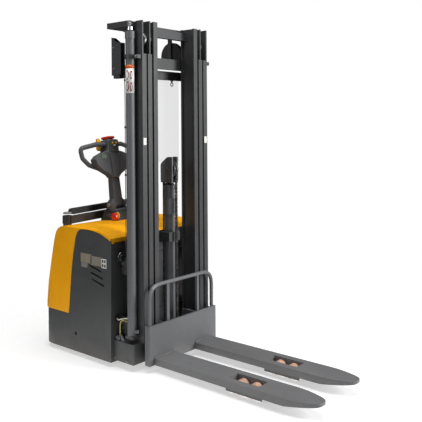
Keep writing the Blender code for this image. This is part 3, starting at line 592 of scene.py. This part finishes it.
def build_chains():
    front, back = SHEAVE.x + WRAP_R, SHEAVE.x - WRAP_R
    bm = bmesh.new()
    chain_links(bm, wrap_line())
    finish_piece("chain_wrap", bm, CHAIN, "free_head")
    bm = bmesh.new()
    chain_links(bm, straight((front, 0, 0.268), (front, 0, SHEAVE.z - 0.0045)))
    run = finish_piece("chain_front", bm, CHAIN, "carriage")
    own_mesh(run)
    bm = bmesh.new()
    low, high = 0.150, SHEAVE.z - 0.001
    chain_links(bm, straight((back, 0, low), (back, 0, high)))
    finish_piece("chain_back", bm, CHAIN, "inner_stage")
    bm = bmesh.new()
    chain_links(bm, straight((back, 0, high - 56 * PITCH), (back, 0, high)))
    finish_piece("chain_back_upper", bm, CHAIN, "free_head")
    for name, x, z0, z1, body in (("chain_anchor_front", front, 0.2625, 0.275, "carriage"),
                                  ("chain_anchor_back", back, 0.1305, 0.152, "inner_stage")):
        bm = bmesh.new()
        lathe(bm, (x, 0, z0), (0, 0, 1), [(0, 0.0075), (z1 - z0, 0.0075)], 16)
        finish_piece(name, bm, ZINC, body, 0.0008)


# ---------------------------------------------------------------- mast fittings
def build_labels():
    """Curved label on the near side cylinder, made of plain coloured fields."""
    centre = at(SIDE_X, -SIDE_Y, 0)
    mid = math.radians(-45)

    def wrap(name, mat, z0, z1, a0, a1, lift):
        bm = bmesh.new()
        steps = 14
        rows = []
        for z in (z0, z1):
            rows.append([bm.verts.new(centre + Vector((math.cos(t), math.sin(t), 0)) * (SIDE_R + lift)
                                      + Vector((0, 0, z)))
                         for t in (mid + math.radians(a0 + (a1 - a0) * k / steps) for k in range(steps + 1))])
        for k in range(steps):
            bm.faces.new((rows[0][k], rows[0][k + 1], rows[1][k + 1], rows[1][k]))
        ob = finish_piece(name, bm, mat, "base", 0, 60)
        mod = ob.modifiers.new("painted_shade", "SOLIDIFY")
        mod.thickness, mod.offset = 0.0003, 1
        return ob

    wrap("label_field", LABEL_WHITE, 1.760, 1.938, -86, 58, 0.0003)
    wrap("label_band", LABEL_ORANGE, 1.916, 1.938, -86, 58, 0.0007)
    for k, (z0, z1, a0, a1) in enumerate((
            (1.890, 1.904, -44, -30), (1.846, 1.856, -44, -26), (1.856, 1.894, -20, -8),
            (1.846, 1.902, 2, 10), (1.850, 1.860, 10, 24), (1.890, 1.900, 10, 24), (1.860, 1.890, 22, 28),
            (1.772, 1.782, -44, -26), (1.824, 1.834, -44, -18), (1.782, 1.824, -22, -12),
            (1.770, 1.828, 2, 10), (1.774, 1.784, 10, 24), (1.816, 1.826, 10, 24), (1.784, 1.816, 22, 28))):
        wrap("label_mark_%d" % k, LABEL_RED, z0, z1, a0, a1, 0.0007)


def flat_label(name, mat, place, u, v, w, h, body, r=0.003, lift=0.0004):
    """A thin rounded plate lying on a face; u and v run along the face."""
    bm = bmesh.new()
    plate(bm, rounded_box_outline(w, h, r), place, u, v, lift)
    return finish_piece(name, bm, mat, body, 0, 30)


def build_plates():
    """Type plate and small blank stickers."""
    skin = -0.4052
    u, v = (1, 0, 0), (0, 0, 1)
    place = lambda x, z, lift=0.0: at(x, skin - lift, z)
    for name, mat, x, z, w, h, r, lift in (
            ("data_plate", LABEL_TAN, -0.512, 0.676, 0.110, 0.062, 0.004, 0.0),
            ("data_plate_wide", LABEL_TAN, -0.412, 0.668, 0.105, 0.060, 0.003, 0.0),
            ("data_plate_foot", LABEL_SILVER, -0.530, 0.630, 0.062, 0.034, 0.005, 0.0),
            ("sign_plate", LABEL_WHITE, -0.333, 0.662, 0.048, 0.060, 0.003, 0.0)):
        flat_label(name, mat, place(x, z, lift), u, v, w, h, "base", r, 0.0008)
    for k in range(5):
        flat_label("data_row_%d" % k, LABEL_SILVER, place(-0.412, 0.688 - 0.010 * k, 0.0008), u, v,
                   0.092, 0.0035, "base", 0.001, 0.0003)
    for k, (dx, dz, w, h) in enumerate(((-0.011, 0.014, 0.014, 0.020), (0.010, 0.014, 0.014, 0.020),
                                        (-0.011, -0.014, 0.014, 0.020), (0.010, -0.014, 0.014, 0.020))):
        flat_label("sign_mark_%d" % k, LABEL_BLACK, place(-0.333 + dx, 0.662 + dz, 0.0008), u, v, w, h,
                   "base", 0.002, 0.0003)
    for side, s in SIDES:
        flat_label("mast_sticker_" + side, LABEL_WHITE, at(-0.0577, 0.296 * s, 1.455), (0, 1, 0), (0, 0, 1),
                   0.026, 0.045, "base", 0.002, 0.0005)


def build_guard_box():
    """Dark folded sheet behind the near cylinder, with its bolts; its cable is built in build_cable."""
    bm = bmesh.new()
    x0, x1, y = -0.300, -0.212, -0.335
    z0, z1 = 1.880, 2.128
    t = 0.003
    outline = [(x0, z0), (x1, z0 + 0.006), (x1, z1 - 0.040), (x0 + 0.050, z1 - 0.034), (x0, z1)]
    for y0 in (y - 0.018, y + 0.018):
        plate(bm, [(a - x0, b) for a, b in outline], at(x0, y0, 0), (1, 0, 0), (0, 0, 1), t)
    slab(bm, x0, x0 + t, y - 0.019, y + 0.018, z0, z1 - 0.002)
    slab(bm, x0 + 0.012, x1 - 0.020, y - 0.016, y + 0.014, z0 - 0.020, z0 + 0.004)
    finish_piece("sheet_box", bm, SHEET, "base", 0.0012)
    bm = bmesh.new()
    for x, z in ((x0 + 0.022, z0 + 0.040), (x0 + 0.022, z1 - 0.070)):
        bolt(bm, at(x, y - 0.0212, z), (0, -1, 0), 0.010, 0.004)
    finish_piece("sheet_box_bolts", bm, ZINC, "base", 0.0004)


def build_hook():
    """Small lifting eye under the upper cross member."""
    bm = bmesh.new()
    top = at(-0.258, 0.168, 1.8725)
    lathe(bm, top, (0, 0, -1), [(0, 0.011), (0.006, 0.011), (0.007, 0.006), (0.016, 0.005)], 18)
    ring = [top + Vector((0, 0.0115 * math.sin(a), -0.028 + 0.0125 * math.cos(a)))
            for a in (2 * math.pi * k / 20 for k in range(20))]
    tube(bm, ring + [ring[0] + Vector((0, 0.0004, 0))], 0.0032, 8)
    finish_piece("cross_member_eye", bm, ZINC, "base", 0.0)


def build_bolts():
    bm = bmesh.new()
    for _, s in SIDES:
        for z in (0.628, 0.662, 0.238, 0.272, 1.890, 1.914):
            bolt(bm, at(-0.255, 0.3152 * s, z), (0, s, 0), 0.013, 0.006)
    finish_piece("mast_bolts", bm, ZINC, "base", 0.0003)
    bm = bmesh.new()
    for _, s in SIDES:
        bolt(bm, at(-0.1208, 0.358 * s, 2.199), (1, 0, 0), 0.010, 0.004)
        bolt(bm, at(SIDE_X, SIDE_Y * s, 2.2162), (0, 0, 1), 0.018, 0.003)
        bolt(bm, at(-0.290, 0.250 * s, 2.1798), (0, 0, -1), 0.012, 0.006)
    finish_piece("head_plate_bolts", bm, ZINC, "middle_stage", 0.0003)
    bm = bmesh.new()
    for _, s in SIDES:
        bolt(bm, at(-0.080, 0.3502 * s, 1.990), (0, s, 0), 0.013, 0.006)
    finish_piece("clamp_bolts", bm, ZINC, "base", 0.0003)


def build_cylinder_ports():
    for side, s in SIDES:
        bm = bmesh.new()
        y = SIDE_Y * s
        lathe(bm, at(SIDE_X + 0.0415, y, 0.254), (1, 0, 0),
              [(0, 0.0135), (0.010, 0.0135), (0.011, 0.009), (0.018, 0.009), (0.020, 0.006), (0.0205, 0)], 18)
        finish_piece("cylinder_port_" + side, bm, ZINC, "base")
        bm = bmesh.new()
        lathe(bm, at(SIDE_X, y, 2.1512), (0, 0, 1),
              [(0, 0.027), (0.004, 0.026), (0.008, 0.0225), (0.009, 0.0194)], 28)
        finish_piece("rod_wiper_" + side, bm, BLACK, "base")
    bm = bmesh.new()
    c = at(-0.130, 0, 1.156)
    lathe(bm, c, (0, 0, 1), [(0, 0.0335), (0.006, 0.0335), (0.010, 0.029), (0.011, 0.0256)], 28)
    finish_piece("centre_wiper", bm, BLACK, "inner_stage")


# ---------------------------------------------------------------- body fittings
def build_body_bits():
    bm = bmesh.new()
    lathe(bm, at(-0.2718, -0.355, 0.310), (1, 0, 0),
          [(0, 0.026), (0.004, 0.026), (0.006, 0.022), (0.0061, 0.017),
           (-0.004, 0.017)], 24)
    finish_piece("grommet", bm, BLACK, "base")
    for name, mat, points, r in (
            ("white_lead", WHITE_WIRE,
             [(-0.274, -0.352, 0.305), (-0.255, -0.352, 0.300), (-0.238, -0.345, 0.306),
              (-0.215, -0.337, 0.311), (-0.190, -0.336, 0.316), (-0.160, -0.325, 0.322)], 0.0040),
            ("yellow_lead", YELLOW_WIRE,
             [(-0.205, -0.327, 0.290), (-0.222, -0.334, 0.297), (-0.243, -0.340, 0.292),
              (-0.252, -0.341, 0.262), (-0.252, -0.342, 0.205), (-0.256, -0.344, 0.175)],
             0.0042)):
        bm = bmesh.new()
        tube(bm, smooth_path([at(*p) for p in points]), r, 10)
        finish_piece(name, bm, mat, "base")
    bm = bmesh.new()
    lathe(bm, at(-0.2715, -0.330, 0.700), (1, 0, 0),
          [(0, 0.034), (0.006, 0.034), (0.008, 0.026), (0.034, 0.024),
           (0.040, 0.018), (0.041, 0)], 28)
    finish_piece("buffer_stop", bm, BLACK, "base", 0.001)
    bm = bmesh.new()
    arch = [at(-0.245, -0.330 + 0.030 * math.cos(a), 0.700 + 0.034 * math.sin(a))
            for a in (math.radians(20 + 14 * k) for k in range(12))]
    tube(bm, arch, 0.004, 8)
    finish_piece("buffer_clip", bm, ZINC, "base")


def build_jack_holes():
    """Black discs behind the two round holes low in the side panels: painted shade for the dark inside of the
    holes.
    """
    for side, s in SIDES:
        bm = bmesh.new()
        lathe(bm, at(-0.625, 0.3960 * s, 0.152), (0, s, 0), [(0, 0.015), (0.002, 0.015), (0.0021, 0)], 20)
        finish_piece("hole_shade_disc_" + side, bm, LABEL_BLACK, "base")


def build_lid_lip():
    """Rubber seal showing as a dark line under the front edge of the lid."""
    bm = bmesh.new()
    slab(bm, -0.2735, -0.2675, -0.372, 0.372, 0.7955, 0.8010)
    finish_piece("lid_seal", bm, BLACK, "lid", 0.0008)


def build_shoes():
    """Cast detail on the two front feet: a block with a gusset, and cover screws."""
    for side, s in SIDES:
        bm = bmesh.new()
        face = 0.3782 * s
        for x in (-0.262, -0.150):
            bolt(bm, at(x, face, 0.060), (0, s, 0), 0.012, 0.005)
        finish_piece("foot_bolts_" + side, bm, ZINC, "base", 0.0003)
        bm = bmesh.new()
        y0, y1 = sorted((0.336 * s, 0.368 * s))
        slab(bm, -0.268, -0.226, y0, y1, 0.1737, 0.197)
        wedge = [(0, 0), (0.034, 0), (0, 0.042)]
        plate(bm, wedge, at(-0.218, y0, 0.1737), (1, 0, 0), (0, 0, 1), -(y1 - y0) * 0.4)
        finish_piece("foot_gusset_" + side, bm, MAST, "base", 0.002)


def build_welds():
    """Fillet weld beads along the fork heels."""
    for side, s in SIDES:
        bm = bmesh.new()
        mid = 0.194 * s
        line = []
        for k in range(65):
            t = k / 64
            ripple = 0.0006 * math.sin(k * 2.3)
            line.append(at(0.0035, mid - 0.089 + 0.178 * t, 0.0905 + ripple))
        tube(bm, line, 0.0045, 8)
        finish_piece("heel_weld_" + side, bm, FORKS, "carriage")


# ---------------------------------------------------------------- controls
PIVOT = at(STEER_X, 0, 0.985)
TILT = Matrix.Rotation(math.radians(-8), 3, "Y")


FLANK = (0, -0.965, 0.262)      # outward from the sloping side of the console


def on_tiller(a, y, h):
    return PIVOT + TILT @ Vector((a, y, h))


def build_controls():
    bm = bmesh.new()
    lathe(bm, at(STEER_X, 0, 0.9452), (0, 0, 1),
          [(0, 0.0765), (0.004, 0.0765), (0.009, 0.0735),
           (0.011, 0.0705), (0.011, 0.0690), (0.002, 0.0690)], 40)
    finish_piece("turret_boot", bm, BLACK, "base")
    bm = bmesh.new()
    lathe(bm, at(-0.568, -0.0788, 0.915), FLANK,
          [(0, 0.0285), (0.0016, 0.0285), (0.0024, 0.027), (0.0024, 0.014)], 32)
    finish_piece("stop_ring", bm, KEY_YELLOW, "base")
    bm = bmesh.new()
    lathe(bm, at(-0.645, -0.0788, 0.915), FLANK, [(0, 0.014), (0.0012, 0.014), (0.0014, 0.0095)], 28)
    finish_piece("key_bezel", bm, ZINC, "base")
    bm = bmesh.new()
    plate(bm, rounded_box_outline(0.018, 0.006, 0.002), on_tiller(0.0442, 0, 0.430), TILT @ Vector((0, 1, 0)),
          TILT @ Vector((0, 0, 1)), 0.0004)
    finish_piece("panel_dash", bm, LABEL_WHITE, "tiller")
    for side, s in SIDES:
        bm = bmesh.new()
        lathe(bm, at(STEER_X, 0.0732 * s, 0.985), (0, s, 0),
              [(0, 0.014), (0.003, 0.014), (0.005, 0.010), (0.0052, 0)], 24)
        finish_piece("pivot_cap_" + side, bm, CAP_GREY, "steer")
        bm = bmesh.new()
        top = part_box("side_arm_" + side)[1].z
        lathe(bm, Vector((at(-0.810, 0, 0).x, 0.325 * s, top + 0.0002)), (0, 0, 1),
              [(-0.0060, 0.030), (0.0, 0.030), (0.003, 0.028),
               (0.006, 0.021), (0.0075, 0.010), (0.008, 0)], 32)
        finish_piece("arm_cap_" + side, bm, CAP_GREY, "arm_" + side)


def build_cable():
    """Thin cable clipped down behind the near cylinder."""
    points = [at(*p) for p in ((-0.205, -0.338, 1.882), (-0.192, -0.344, 1.850), (-0.187, -0.345, 1.760),
                               (-0.187, -0.345, 1.500), (-0.187, -0.345, 1.240), (-0.187, -0.345, 0.900),
                               (-0.187, -0.344, 0.760), (-0.182, -0.336, 0.690), (-0.176, -0.322, 0.640))]
    line = smooth_path(points, 5)
    bm = bmesh.new()
    tube(bm, line, 0.0026, 8)
    finish_piece("signal_cable", bm, CABLE, "base")
    bm = bmesh.new()
    for z in (1.845, 1.545, 1.240):
        lathe(bm, at(-0.187, -0.345, z - 0.006), (0, 0, 1), [(0, 0.0056), (0.012, 0.0056)], 14)
        slab(bm, -0.188, -0.175, -0.345, -0.3155, z - 0.004, z + 0.004)
    finish_piece("cable_clips", bm, BLACK, "base", 0.0006)


set_stage()
set_camera()
dress_cad()
build_chains()
build_labels()
build_plates()
build_guard_box()
build_hook()
build_bolts()
build_cylinder_ports()
build_body_bits()
build_jack_holes()
build_lid_lip()
build_shoes()
build_welds()
build_controls()
build_cable()
